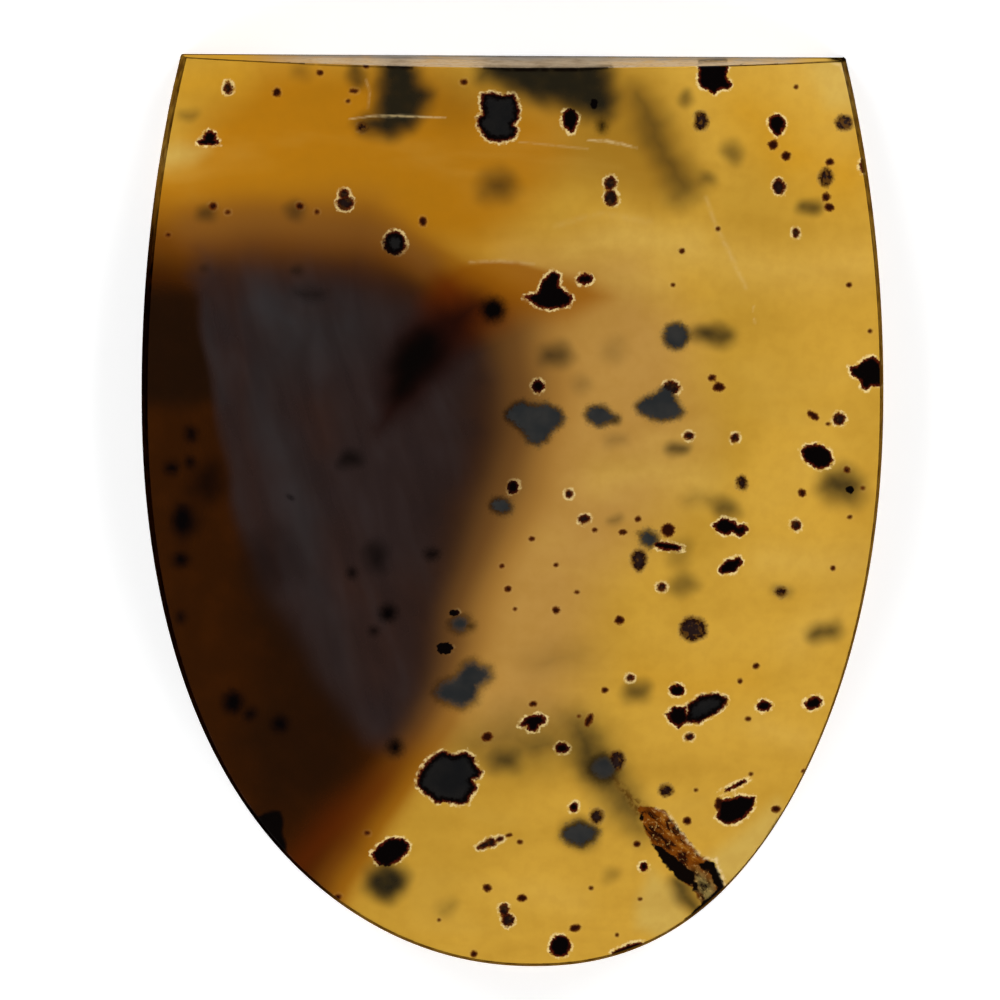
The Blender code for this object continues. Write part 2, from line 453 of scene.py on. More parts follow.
# Strokes of varying width: points are x, y and radius. In a table each is a row
# of its points, strength and blur
Stroke = namedtuple("Stroke", "points strength blur")
PLUME = Stroke(((636, 96, 3), (652, 126, 11), (665, 156, 9), (683, 188, 12)), 0.48, 22)
SHADE_BELOW = Stroke(((470, 744, 14), (520, 738, 28), (580, 738, 26)), 0.28, 30)
WEDGE_SHADOW = Stroke(
    ((576, 726, 3), (588, 748, 12), (606, 776, 17), (625, 806, 13), (642, 832, 4)), 0.55, 22
)
HORN = Stroke(
    ((478, 302, 8), (466, 312, 15), (452, 324, 23), (426, 352, 30), (400, 388, 20),
     (380, 428, 4)), 0.95, 20
)

# Broad zones: corners are x, y and the width over which the edge fades there
SMOKE_ZONE = (
    (60, 234, 70), (200, 243, 90), (300, 245, 92), (360, 244, 86), (414, 264, 66),
    (452, 280, 56), (486, 300, 60), (516, 334, 98), (522, 376, 96), (516, 430, 88),
    (506, 480, 88), (482, 540, 80), (464, 600, 70), (455, 640, 66), (438, 690, 62),
    (414, 735, 56), (386, 778, 56), (364, 815, 56), (352, 848, 58), (332, 878, 54),
    (306, 940, 40), (60, 940, 40),
)
HAZE_ZONE = (
    (206, 250, 28), (192, 274, 15), (202, 298, 7), (206, 340, 6), (211, 385, 7), (222, 440, 9),
    (234, 500, 10), (258, 560, 12), (292, 615, 16), (320, 668, 18), (346, 712, 18),
    (366, 740, 18), (390, 748, 22), (408, 718, 30), (422, 660, 40), (432, 600, 44),
    (442, 540, 46), (454, 480, 50), (468, 420, 46), (484, 372, 34), (478, 352, 26),
    (440, 334, 26), (410, 304, 32), (360, 273, 38), (300, 264, 42), (236, 255, 40),
)
WARM_ZONE = (
    (60, 150, 40), (300, 150, 60), (440, 190, 50), (560, 246, 40), (548, 300, 34),
    (470, 330, 30), (400, 300, 40), (280, 300, 50), (215, 330, 16), (225, 440, 16),
    (260, 580, 24), (340, 720, 24), (400, 740, 30), (450, 720, 50), (440, 800, 40),
    (380, 960, 40), (60, 960, 40),
)
DIM_ZONE = (
    (60, 282, 22), (204, 290, 10), (210, 340, 8), (216, 400, 12), (180, 404, 16),
    (60, 398, 16),
)
LOW_DIM_ZONE = (
    (240, 560, 26), (300, 625, 22), (345, 712, 20), (362, 760, 24), (318, 812, 26),
    (262, 806, 26), (232, 740, 22), (262, 690, 26),
)
# Pale ridges and brown veils in the grey haze
RIDGES = (
    (((262, 300, 20), (300, 335, 34), (350, 330, 22)), 0.7, 40),
    (((258, 370, 10), (264, 430, 12), (292, 476, 12), (306, 543, 12),
      (326, 604, 8), (352, 670, 8)), 0.55, 26),
    (((214, 500, 2), (222, 520, 3), (240, 590, 4)), 0.6, 12),
    (((300, 725, 3), (312, 750, 4)), 0.4, 9),
    (((210, 300, 3), (214, 340, 3), (222, 400, 3)), 0.4, 9),
)
BROWN_VEILS = (
    (((314, 416, 14), (322, 444, 12)), 0.9, 18),
    (((237, 290, 2), (243, 360, 3), (240, 440, 4), (262, 520, 6), (280, 580, 6)), 0.6, 11),
    (((356, 588, 10), (370, 600, 8)), 0.9, 16),
    (((372, 680, 14), (392, 640, 18), (412, 590, 18)), 0.9, 30),
    (((340, 540, 12), (352, 600, 18), (366, 660, 14)), 0.7, 30),
)
# Broad colours of the honey part, each with one width for its whole edge
OCHRE_BLUR, SHADE_BLUR, TAN_BLUR = 34, 30, 45
OCHRE_ZONE = (
    (120, 176), (178, 152), (210, 106), (262, 64), (420, 60), (500, 96), (560, 120),
    (560, 160), (524, 212), (482, 250), (430, 252), (120, 260),
)
SHADE_ZONE = (
    (500, 60), (600, 60), (655, 90), (700, 185), (650, 210), (560, 180), (470, 150),
)
TAN_ZONE = (
    (510, 250), (640, 250), (690, 330), (700, 440), (660, 520), (600, 590), (590, 660),
    (560, 720), (490, 740), (440, 720),
)
CREAM_ZONES = (
    (((150, 146), (176, 140), (204, 148), (190, 158), (150, 166)), 11),
    (((800, 50), (860, 50), (868, 110), (828, 102)), 14),
    (((640, 905), (652, 872), (684, 893), (692, 920), (664, 940), (640, 930)), 10),
    (((700, 868), (735, 835), (775, 800), (790, 830), (745, 880), (722, 890)), 12),
)
# Iron-stained patch with a crisp upper edge, and a glow at the smoke's lower end
GLOW_ZONE = (
    (440, 274, 16), (462, 262, 6), (486, 259, 3), (520, 261, 3), (552, 269, 5),
    (592, 282, 14), (612, 300, 16), (570, 318, 18), (520, 316, 20), (480, 326, 22),
    (450, 350, 20), (430, 360, 18), (422, 340, 22), (430, 305, 22),
)
GLOWS = ((((300, 868, 12), (340, 828, 18), (380, 786, 10)), 0.7, 24),)
# Painted light: paler, yellower parts where more light comes through
GLEAMS = (
    (((690, 250, 10), (760, 266, 14), (860, 268, 14)), 0.75, 34),
    (((575, 250, 6), (630, 240, 16), (690, 246, 12)), 0.95, 22),
    (((600, 284, 8), (660, 286, 12)), 0.6, 26),
    (((770, 560, 10), (856, 562, 12)), 0.7, 30),
    (((755, 725, 6), (800, 735, 8)), 0.6, 24),
    (((838, 84, 10), (800, 68, 10)), 0.5, 24),
    (((800, 640, 10), (840, 605, 12)), 0.5, 28),
    (((540, 890, 8), (580, 905, 8)), 0.4, 24),
    (((600, 480, 12), (650, 470, 14), (705, 480, 14)), 0.75, 26),
    (((650, 440, 8), (700, 436, 8)), 0.4, 20),
)
# Dull brown band along the upper edge of the smoke
DULL_BAND = Stroke(
    ((196, 222, 18), (300, 224, 20), (392, 240, 14), (424, 260, 12)), 0.6, 20
)
# Parts a little redder than the body round them
AMBERS = (
    (((742, 108, 16), (790, 150, 26), (842, 176, 22)), 0.9, 34),
    (((640, 676, 10), (700, 688, 14), (752, 676, 10)), 0.5, 30),
    (((186, 84, 12), (236, 72, 12)), 0.8, 26),
)
# Fine pale lines: healed arcs, and cracks that catch the light
PALE_ARCS = (
    (((556, 226, 1), (600, 213, 1.2), (650, 222, 1)), 0.25, 5),
    (((470, 262, 0.8), (500, 261, 1.4), (534, 264, 0.8)), 0.5, 2),
)
CRACKS = (
    (((349, 119, 0.5), (372, 116, 0.7), (400, 116, 1.1), (424, 117, 0.9),
      (446, 118, 0.4)), 1.0, 0.9),
    (((519, 142, 0.4), (560, 146, 0.7), (588, 149, 0.5)), 0.5, 1.4),
    (((588, 140, 0.7), (606, 141, 1.5), (622, 144, 1.3), (637, 148, 0.5)), 1.0, 1.0),
    (((706, 198, 1.0), (716, 226, 1.0), (728, 250, 1.6), (746, 288, 1.0)), 0.45, 3.0),
    (((754, 306, 0.8), (753, 311, 0.6)), 0.7, 1.0),
    (((754, 319, 0.8), (755, 323, 0.6)), 0.7, 1.0),
    (((832, 63, 0.8), (841, 65, 1.8), (845, 76, 0.8), (850, 96, 0.4)), 1.0, 1.4),
    (((176, 96, 0.4), (172, 110, 0.5)), 0.3, 1.4),
    (((366, 80, 0.8), (370, 92, 0.6), (368, 108, 0.5)), 0.5, 1.4),
)

# Dark lines along the cut and round the chip at its right end
SEAMS = (
    (((300, 63.5, 0.5), (350, 66, 0.8), (388, 67, 0.8)), 0.7, 1.0),
    (((388, 67, 1.3), (412, 68, 1.3)), 1.0, 1.2),
    (((484, 68, 0.8), (512, 69.5, 2.0), (580, 69.5, 2.0), (612, 67.5, 0.8)), 1.0, 1.2),
    (((700, 64, 0.6), (728, 63, 0.6)), 0.8, 1.0),
    (((790, 58.5, 0.4), (829, 58.5, 0.8)), 0.6, 1.0),
    (((829, 59, 1.2), (846, 60.5, 2.4)), 1.0, 1.2),
    (((846, 60, 1.0), (849, 74, 0.8)), 0.8, 1.0),
)

# The rusty wedge that runs out to the rim
WEDGE = (
    (638, 806), (650, 806), (663, 810), (672, 818), (680, 829), (690, 842), (700, 855),
    (713, 862), (718, 872), (728, 892), (714, 906), (702, 904), (694, 890), (682, 881),
    (664, 863), (651, 842), (641, 822),
)
WEDGE_INK = (
    ((653, 845), (662, 847), (676, 858), (688, 868), (696, 874), (694, 886), (682, 882),
     (670, 871), (659, 856)),
    ((699, 864), (707, 861), (713, 860), (716, 866), (720, 876), (728, 892), (722, 897),
     (714, 884), (709, 871), (700, 869)),
    ((640, 812), (644, 812), (643, 822), (639, 819)),
    ((722, 883), (731, 893), (695, 926), (684, 920), (701, 903), (712, 894)),
    ((692, 880), (699, 884), (699, 892), (692, 890)),
)
WEDGE_TAIL = Stroke(((614, 778, 1.0), (628, 796, 3.5), (643, 812, 6.5)), 0.9, 5)
WEDGE_ASH = Stroke(((694, 872, 4), (706, 886, 8), (708, 898, 8)), 1.0, 7)
WEDGE_RIM = Stroke(
    ((655, 808, 0.5), (667, 812, 0.8), (678, 827, 1.0), (688, 842, 0.8), (704, 858, 0.8),
     (716, 859, 1.4), (719, 869, 1.4), (728, 889, 1.4)), 1.0, 1.4
)
WEDGE_ANGLE = math.radians(-50)
WISP_ANGLE = math.radians(-74)


def ellipse_distance(x, y, mark):
    """Signed pixels from the edge of an ellipse, below zero inside it."""
    turn = math.radians(mark.tilt)
    dx, dy = x - mark.x, mark.y - y
    along = dx * math.cos(turn) + dy * math.sin(turn)
    across = dy * math.cos(turn) - dx * math.sin(turn)
    near = np.hypot(along / mark.rx, across / mark.ry)
    slope = np.hypot(along / mark.rx**2, across / mark.ry**2)
    return near * (near - 1) / np.maximum(slope, 1e-6)


def from_segment(x, y, start, end):
    """Pixels from the straight line between two points, and the share along it."""
    dx, dy = end[0] - start[0], end[1] - start[1]
    share = np.clip(((x - start[0]) * dx + (y - start[1]) * dy) / (dx * dx + dy * dy), 0, 1)
    return np.hypot(x - start[0] - dx * share, y - start[1] - dy * share), share


def patch_distance(x, y, outline):
    """Signed pixels from the edge of a closed outline, below zero inside it."""
    best = np.full(x.shape, FAR_PIXELS)
    inside = np.zeros(x.shape, bool)
    for start, end in zip(outline, outline[1:] + outline[:1]):
        best = np.minimum(best, from_segment(x, y, start, end)[0])
        (ax, ay), (bx, by) = start[:2], end[:2]
        if ay != by:
            crosses = (ay > y) != (by > y)
            inside ^= crosses & (x < ax + (y - ay) / (by - ay) * (bx - ax))
    return np.where(inside, -best, best)


def soft_patch(x, y, outline):
    """1 inside an outline fading to 0 outside, over a width given at each corner."""
    best = np.full(x.shape, FAR_PIXELS)
    width = np.ones(x.shape)
    for start, end in zip(outline, outline[1:] + outline[:1]):
        away, share = from_segment(x, y, start, end)
        width = np.where(away < best, start[2] + (end[2] - start[2]) * share, width)
        best = np.minimum(best, away)
    return fade(patch_distance(x, y, outline), width)


def wavered(x, y, reach, length):
    """Coordinates shifted in slow waves, so that soft edges waver."""
    shift_x = np.sin(y / length + 1.3) + 0.6 * np.sin((x + 2 * y) / (0.7 * length))
    shift_y = np.sin(x / length + 0.4) + 0.6 * np.sin((2 * x - y) / (0.8 * length))
    return x + reach * shift_x, y + reach * shift_y


def stroke_distance(x, y, points):
    """Signed pixels from the edge of a stroke whose radius changes along it."""
    best = np.full(x.shape, FAR_PIXELS)
    for start, end in zip(points, points[1:]):
        away, share = from_segment(x, y, start, end)
        best = np.minimum(best, away - start[2] - (end[2] - start[2]) * share)
    return best


def fade(distance, softness):
    """1 well inside an edge, 0 well outside it."""
    return 1 - smooth_step(-softness, softness, distance)


def stroke_fade(x, y, stroke):
    return stroke.strength * fade(stroke_distance(x, y, stroke.points), stroke.blur)


def flecks():
    """Every fleck as its distance function, shape, look, size in pixels and middle."""
    for look, rows in (
        (BLACK, BLACK_FLECKS), (BROWN, BROWN_FLECKS), (MOTTLED, MOTTLED_FLECKS),
        (SLATE, SLATE_FLECKS), (SOOT, SOOT_FLECKS), (INKY, INKY_FLECKS),
        (MAROON, MAROON_FLECKS), (SUNKEN, SUNKEN_FLECKS),
    ):
        for row in rows:
            mark = Fleck(*row)
            yield ellipse_distance, mark, look, math.sqrt(mark.rx * mark.ry), mark[:2]
    for look, patches in (
        (BLACK, BLACK_PATCHES), (SLATE, SLATE_PATCHES), (SUNKEN, SUNKEN_PATCHES),
        (INKY, INKY_PATCHES),
    ):
        for outline in patches:
            spread = np.ptp(outline, axis=0)
            yield patch_distance, outline, look, min(spread) / 2, np.mean(outline, axis=0)


def fleck_fields(x, y, below):
    """Distance to the nearest fleck, in mm, and that fleck's look, for each point."""
    fields = {"fleck": np.full(x.shape, FAR_MM)}
    looks = ("tint", "halo", "grey", "border", "gaps", "blur")
    for name in ("fleck_size", *(f"fleck_{look}" for look in looks)):
        fields[name] = np.zeros(x.shape)
    for measure, shape, look, size, middle in flecks():
        reach = FAR_MM / MM_PER_PIXEL + size
        near = (np.abs(x - middle[0]) < reach) & (np.abs(y - middle[1]) < reach)
        distance = measure(x[near], y[near], shape) * MM_PER_PIXEL
        radius = size * MM_PER_PIXEL
        sunk = np.maximum(below[near] - look.depth - radius, 0)
        distance = np.maximum(distance, -radius) + sunk
        nearer = distance < fields["fleck"][near]
        chosen = np.flatnonzero(near)[nearer]
        fields["fleck"][chosen] = distance[nearer]
        fields["fleck_size"][chosen] = radius
        for name in looks:
            fields[f"fleck_{name}"][chosen] = getattr(look, name)
    return fields


def combine(first, second):
    """Two shadings laid over each other."""
    return 1 - (1 - first) * (1 - second)


def shadow_field(x, y):
    """Soft shadows of what lies deep in the stone, from 0 to 1."""
    total = np.zeros(x.shape)
    x, y = wavered(x, y, *SHADOW_WAVES)
    for row in SHADOWS:
        mark = Shadow(*row)
        edge = ellipse_distance(x, y, mark)
        shade = mark.strength * fade(edge, SHADOW_SPREAD * mark.blur)
        total = combine(total, shade)
    for outline, strength, blur in SOFT_PATCHES:
        total = combine(total, strength * fade(patch_distance(x, y, outline), blur))
    return combine(total, strokes(x, y, (PLUME, SHADE_BELOW, WEDGE_SHADOW)))


def strokes(x, y, marks):
    """Several strokes laid over each other."""
    total = np.zeros(x.shape)
    for mark in marks:
        total = combine(total, stroke_fade(x, y, Stroke(*mark)))
    return total


def zone_fields(x, y):
    """Amounts, from 0 to 1, of the stone's broad colours at each point."""
    crack = strokes(x, y, CRACKS + PALE_ARCS)
    seam = strokes(x, y, SEAMS)
    x, y = wavered(x, y, *ZONE_WAVES)
    cream = np.zeros(x.shape)
    for outline, softness in CREAM_ZONES:
        cream = combine(cream, fade(patch_distance(x, y, outline), softness))
    low_dim = LOW_DIM_STRENGTH * soft_patch(x, y, LOW_DIM_ZONE)
    return {
        "smoke": soft_patch(x, y, SMOKE_ZONE),
        "haze": soft_patch(x, y, HAZE_ZONE),
        "warm": soft_patch(x, y, WARM_ZONE),
        "ridge": strokes(x, y, RIDGES),
        "veil": strokes(x, y, BROWN_VEILS),
        "dim": combine(soft_patch(x, y, DIM_ZONE), low_dim),
        "horn": stroke_fade(x, y, HORN),
        "ochre": fade(patch_distance(x, y, OCHRE_ZONE), OCHRE_BLUR),
        "shade": fade(patch_distance(x, y, SHADE_ZONE), SHADE_BLUR),
        "tan": fade(patch_distance(x, y, TAN_ZONE), TAN_BLUR),
        "cream": cream,
        "glow": combine(soft_patch(x, y, GLOW_ZONE), strokes(x, y, GLOWS)),
        "gleam": strokes(x, y, GLEAMS),
        "amber": strokes(x, y, AMBERS),
        "dull": stroke_fade(x, y, DULL_BAND),
        "crack": crack,
        "seam": seam,
    }


def wedge_fields(x, y):
    """Distances to the rusty wedge and its ink in mm, and amounts of its other parts."""
    ink = np.full(x.shape, FAR_MM / MM_PER_PIXEL)
    for outline in WEDGE_INK:
        ink = np.minimum(ink, patch_distance(x, y, outline))
    return {
        "wedge": patch_distance(x, y, WEDGE) * MM_PER_PIXEL,
        "wedge_ink": ink * MM_PER_PIXEL,
        "wedge_rim": stroke_fade(x, y, WEDGE_RIM),
        "wedge_tail": stroke_fade(x, y, WEDGE_TAIL),
        "wedge_ash": stroke_fade(x, y, WEDGE_ASH),
    }


# Building the mesh


def photo_pixels(points):
    """Pixels of the face straight above each point, and the point's depth under it in mm."""
    lifted = points.copy()
    lifted[:, 2] = dome_height(points[:, 0], points[:, 1])
    x, y = camera.pixels(lifted)
    return x, y, (lifted[:, 2] - points[:, 2]) / MM


def pick(stone):
    bpy.ops.object.select_all(action="DESELECT")
    stone.select_set(True)
    bpy.context.view_layer.objects.active = stone


def edit(stone, mode="VERT"):
    """Opens the stone for editing its points, edges or faces."""
    pick(stone)
    bpy.ops.object.mode_set(mode="EDIT")
    bpy.ops.mesh.select_mode(type=mode)


def leave_edit():
    bpy.ops.object.mode_set(mode="OBJECT")


def unit_block():
    """A closed block of quads, one unit square in plan, with the wall's rings."""
    bpy.ops.mesh.primitive_grid_add(
        x_subdivisions=QUADS_ACROSS, y_subdivisions=QUADS_ALONG, size=1, location=(0.5, 0.5, 0)
    )
    stone = bpy.context.object
    stone.name = "agate"
    bpy.ops.object.transform_apply(location=True)
    edit(stone)
    bpy.ops.mesh.select_all(action="SELECT")
    for low, high in zip(WALL_LEVELS, WALL_LEVELS[1:]):
        bpy.ops.mesh.extrude_region_move(
            TRANSFORM_OT_translate={"value": (0, 0, high - low)}
        )
    leave_edit()
    return stone


def refine_round_marks(stone, reach_mm):
    """Cuts the quads near the crisp markings in four."""
    mesh = stone.data
    centres = rows_of(mesh.polygons, "center")
    x, y, below = photo_pixels(stone_points(*centres.T))
    edge = np.abs(fleck_fields(x, y, below)["fleck"])
    rust = np.abs(wedge_fields(x, y)["wedge"])
    line = np.full(x.shape, FAR_MM)
    for points, *_ in CRACKS + SEAMS + (WEDGE_RIM,):
        line = np.minimum(line, stroke_distance(x, y, points) * MM_PER_PIXEL)
    wanted = np.minimum(np.minimum(edge, rust), line) < reach_mm
    wanted &= centres[:, 2] > FINE_FROM_LEVEL
    mesh.polygons.foreach_set("select", wanted)
    edit(stone, "FACE")
    bpy.ops.mesh.subdivide(number_cuts=1, quadcorner="INNERVERT")
    leave_edit()


def shape_stone(stone):
    mesh = stone.data
    points = stone_points(*rows_of(mesh.vertices, "co").T)
    mesh.vertices.foreach_set("co", points.ravel())
    mesh.update()


def ease_edges(stone):
    """Takes the sharpness off the wall's and the cut's edges, as a polisher does."""
    edit(stone, "EDGE")
    bpy.ops.mesh.select_all(action="DESELECT")
    bpy.ops.mesh.edges_select_sharp(sharpness=EDGE_ANGLE)
    bpy.ops.mesh.bevel(offset=EASED_EDGE, segments=2, affect="EDGES")
    bpy.ops.mesh.select_all(action="SELECT")
    bpy.ops.mesh.normals_make_consistent(inside=False)
    leave_edit()


def paint_stone(stone):
    """Stores every marking on the mesh as amounts and distances."""
    mesh = stone.data
    x, y, below = photo_pixels(rows_of(mesh.vertices, "co"))
    fields = fleck_fields(x, y, below)
    fields.update(zone_fields(x, y))
    fields.update(wedge_fields(x, y))
    fields["shadow"] = shadow_field(x, y)
    for name, values in fields.items():
        attribute = mesh.attributes.new(name, "FLOAT", "POINT")
        attribute.data.foreach_set("value", values.astype(np.float32))


def give_finishes(stone):
    """Slot 0 is the polished face, 1 the wall, 2 the sawn cut and 3 the back."""
    for face in stone.data.polygons:
        x, y, z = face.center
        if face.normal.z > FACE_NORMAL:
            face.material_index = 0
        elif face.normal.z < -FACE_NORMAL:
            face.material_index = 3
        elif face.normal.y > CUT_NORMAL and cut_line(x, z) - y < CUT_SKIN:
            face.material_index = 2
        else:
            face.material_index = 1


def make_stone():
    stone = unit_block()
    for reach in FINE_BANDS_MM:
        refine_round_marks(stone, reach)
    shape_stone(stone)
    ease_edges(stone)
    paint_stone(stone)
    for finish in FINISHES:
        stone.data.materials.append(agate_material(finish))
    give_finishes(stone)
    pick(stone)
    bpy.ops.object.shade_smooth_by_angle(angle=EDGE_ANGLE)
    return stone


# Materials


def colour(code):
    """Linear colour of an sRGB hex value."""
    parts = [int(code[i : i + 2], 16) / 255 for i in (1, 3, 5)]
    linear = [c / 12.92 if c <= 0.04045 else ((c + 0.055) / 1.055) ** 2.4 for c in parts]
    return (*linear, 1.0)


def add(tree, kind, settings=None, **inputs):
    """Adds a node and sets its options and its inputs, which go by name or, as in i0, place."""
    node = tree.nodes.new(kind)
    for name, value in (settings or {}).items():
        setattr(node, name, value)
    for name, value in inputs.items():
        socket = node.inputs[int(name[1:]) if name[1:].isdigit() else name]
        if isinstance(value, bpy.types.NodeSocket):
            tree.links.new(value, socket)
        else:
            socket.default_value = value
    return node


def new_material(name):
    """A material with its node tree, its shader and the piece's own coordinates."""
    material = bpy.data.materials.new(name)
    material.use_nodes = True
    tree = material.node_tree
    place = add(tree, "ShaderNodeTexCoord").outputs["Object"]
    return material, tree, tree.nodes["Principled BSDF"], place


# Roughness where it is smooth and where it is rough, gloss and how strong its painted shade is
Finish = namedtuple("Finish", "name smooth rough gloss shade")
FINISHES = (
    # Chalcedony polished to a glassy shine on the dome
    Finish("polished_agate", smooth=0.08, rough=0.13, gloss=0.5, shade=0.0),
    # The finely ground wall, painted dark as painted shade where the light bends away at the
    # rim
    Finish("ground_girdle", smooth=0.5, rough=0.65, gloss=0.0, shade=0.86),
    # The frosted sawn end, where the light scatters white and its tones are partly a painted
    # reflection
    Finish("sawn_agate", smooth=0.55, rough=0.7, gloss=0.0, shade=0.0),
    # The lapped back, flat and silky
    Finish("lapped_agate", smooth=0.25, rough=0.35, gloss=0.4, shade=0.0),
)

# Zones of the body in the order they lie over each other, with how strong each is
BODY_TONES = (
    ("tan", 1.0, "#BE8F45"), ("shade", 1.0, "#A87A22"), ("ochre", 1.0, "#B4760F"),
    ("amber", 0.8, "#CC921A"), ("cream", 0.55, "#CDB05E"), ("gleam", 0.85, "#DAB052"),
)
# Where in the smoke's fading edge each tone begins and is full, and the tone itself
# where the smoke is cool and where iron warms it
SMOKE_TONES = (
    (0.0, 0.25, "#A87834", "#9A6210"), (0.14, 0.52, "#704A20", "#6E3E08"),
    (0.42, 0.86, "#38200F", "#391900"), (0.78, 1.0, "#291A14", "#2E1300"),
)


def agate_material(finish):
    """Milky, honey-coloured chalcedony, cloudy with iron and dotted with manganese."""
    material, tree, shader, place = new_material(finish.name)

    def amount(name):
        return add(tree, "ShaderNodeAttribute", {"attribute_name": name}).outputs["Fac"]

    def sums(operation, first, second=0.0, third=0.0):
        settings = {"operation": operation}
        node = add(tree, "ShaderNodeMath", settings, i0=first, i1=second, i2=third)
        return node.outputs[0]

    def times(first, second):
        return sums("MULTIPLY", first, second)

    def plus(first, second):
        return sums("ADD", first, second)

    def step(value, low, high, out_low=0.0, out_high=1.0):
        settings = {"interpolation_type": "SMOOTHSTEP"}
        node = add(
            tree, "ShaderNodeMapRange", settings,
            i0=value, i1=low, i2=high, i3=out_low, i4=out_high,
        )
        return node.outputs[0]

    def mix(share, first, second):
        first, second = (colour(c) if isinstance(c, str) else c for c in (first, second))
        settings = {"data_type": "RGBA"}
        node = add(tree, "ShaderNodeMix", settings, i0=share, i6=first, i7=second)
        return node.outputs[2]

    def noise(size_mm, detail=2.0, stretch=(1, 1, 1), turn=0.0, distort=0.0):
        moved = add(
            tree, "ShaderNodeMapping", {"vector_type": "TEXTURE"},
            Vector=place, Rotation=(0, 0, turn), Scale=stretch,
        ).outputs[0]
        node = add(
            tree, "ShaderNodeTexNoise", None,
            Vector=moved, Scale=1 / (size_mm * MM), Detail=detail, Distortion=distort,
        )
        return node.outputs["Fac"]

    # Body: honey, with ochre, tan and cream zones, faint level bands and fine cloud
    body = mix(step(noise(6.0, 3.0), 0.35, 0.65), "#C39532", "#D2A23A")
    # The gleam zone among these is painted light, paler where more light comes through
    for zone, strength, tone in BODY_TONES:
        body = mix(times(amount(zone), strength), body, tone)
    body = mix(step(noise(0.5, 4.0), 0.35, 0.7, 0, 0.12), body, "#A06C14")
    bands = noise(3.4, 3.0, stretch=(2.6, 0.8, 1.0), distort=0.6)
    body = mix(step(bands, 0.45, 0.75, 0, 0.2), body, "#96670F")
    body = mix(step(bands, 0.5, 0.25, 0, 0.16), body, "#D6AE50")

    # Brown smoke: tan, brown and near black, and warmer where iron stains it
    smoke = amount("smoke")
    warm = amount("warm")
    brown = body
    for begins, full, cool, stained in SMOKE_TONES:
        brown = mix(step(smoke, begins, full), brown, mix(warm, cool, stained))
    brown = mix(amount("dull"), brown, "#7A4E1F")
    mottle = step(noise(1.3, 4.0), 0.42, 0.68, 0, 0.35)
    stain = times(mottle, step(smoke, 0.6, 0.95))
    brown = mix(stain, brown, mix(warm, "#1C100C", "#3C1A00"))
    brown = mix(times(amount("dim"), 0.75), brown, "#140902")
    iron = mix(step(smoke, 0.05, 0.6), "#985A06", "#5E2300")
    brown = mix(times(amount("glow"), 0.85), brown, iron)

    # Grey haze over the smoke, with pale ridges and brown veils
    grey_haze = mix(amount("ridge"), "#2D211F", "#302F30")
    grey_haze = mix(times(amount("veil"), 0.8), grey_haze, "#35211A")
    wisps = noise(1.1, 2.5, stretch=(3.6, 1.0, 1.0), turn=WISP_ANGLE, distort=0.3)
    grey_haze = mix(step(wisps, 0.42, 0.68, 0, 0.32), grey_haze, "#1B1212")
    grey_haze = mix(step(wisps, 0.5, 0.3, 0, 0.24), grey_haze, "#383131")
    cloud = step(noise(1.6, 4.0), 0.3, 0.7, 0.75, 1.0)
    hazy = mix(times(amount("haze"), cloud), brown, grey_haze)
    dark = mix(amount("horn"), hazy, "#1C0602")

    # Deep shadows: olive in the honey, black in the smoke
    frayed = sums("MULTIPLY_ADD", noise(0.6), 0.4, 0.8)
    lit_through = sums("SUBTRACT", 1.0, times(amount("shadow"), frayed))
    clear = times(sums("MAXIMUM", lit_through, 0.0), lit_through)
    umber = mix(step(smoke, 0.35, 0.9), "#221D11", "#040100")
    deep = mix(sums("SUBTRACT", 1.0, clear), dark, umber)

    # Crack lines that catch the light
    crack = times(amount("crack"), step(noise(0.25), 0.3, 0.6, 0.35, 1.0))
    lit = mix(times(crack, 0.55), deep, "#E4C88E")

    # Rusty wedge: streaks that follow its length
    along = noise(0.3, 4.0, stretch=(3.0, 1.0, 1.0), turn=WEDGE_ANGLE, distort=0.5)
    rust = mix(step(along, 0.36, 0.54), "#260900", "#743A05")
    rust = mix(step(along, 0.54, 0.72), rust, "#9C621A")
    speck = step(noise(0.13, 3.0), 0.56, 0.7)
    flakes = noise(0.25, 3.0, stretch=(2.5, 1.0, 1.0), turn=WEDGE_ANGLE)
    ash = mix(step(flakes, 0.38, 0.66), "#1E1206", "#86723F")
    rust = mix(amount("wedge_ash"), rust, ash)
    rust = mix(times(speck, 0.45), rust, "#D0A860")
    ragged = sums("MULTIPLY_ADD", noise(0.22, 4.0), 0.26, -0.13)
    wedge = step(plus(amount("wedge"), ragged), 0.05, -0.05)
    tail = times(amount("wedge_tail"), step(noise(0.18, 3.0), 0.4, 0.6, 0.15, 0.9))
    rusty = mix(wedge, mix(tail, lit, "#4A2200"), rust)
    ink = step(plus(amount("wedge_ink"), ragged), 0.03, -0.05)
    rusty = mix(ink, rusty, "#080200")
    bright = times(amount("wedge_rim"), step(noise(0.18), 0.4, 0.58, 0.1, 1.0))
    rusty = mix(bright, rusty, "#E6CC94")
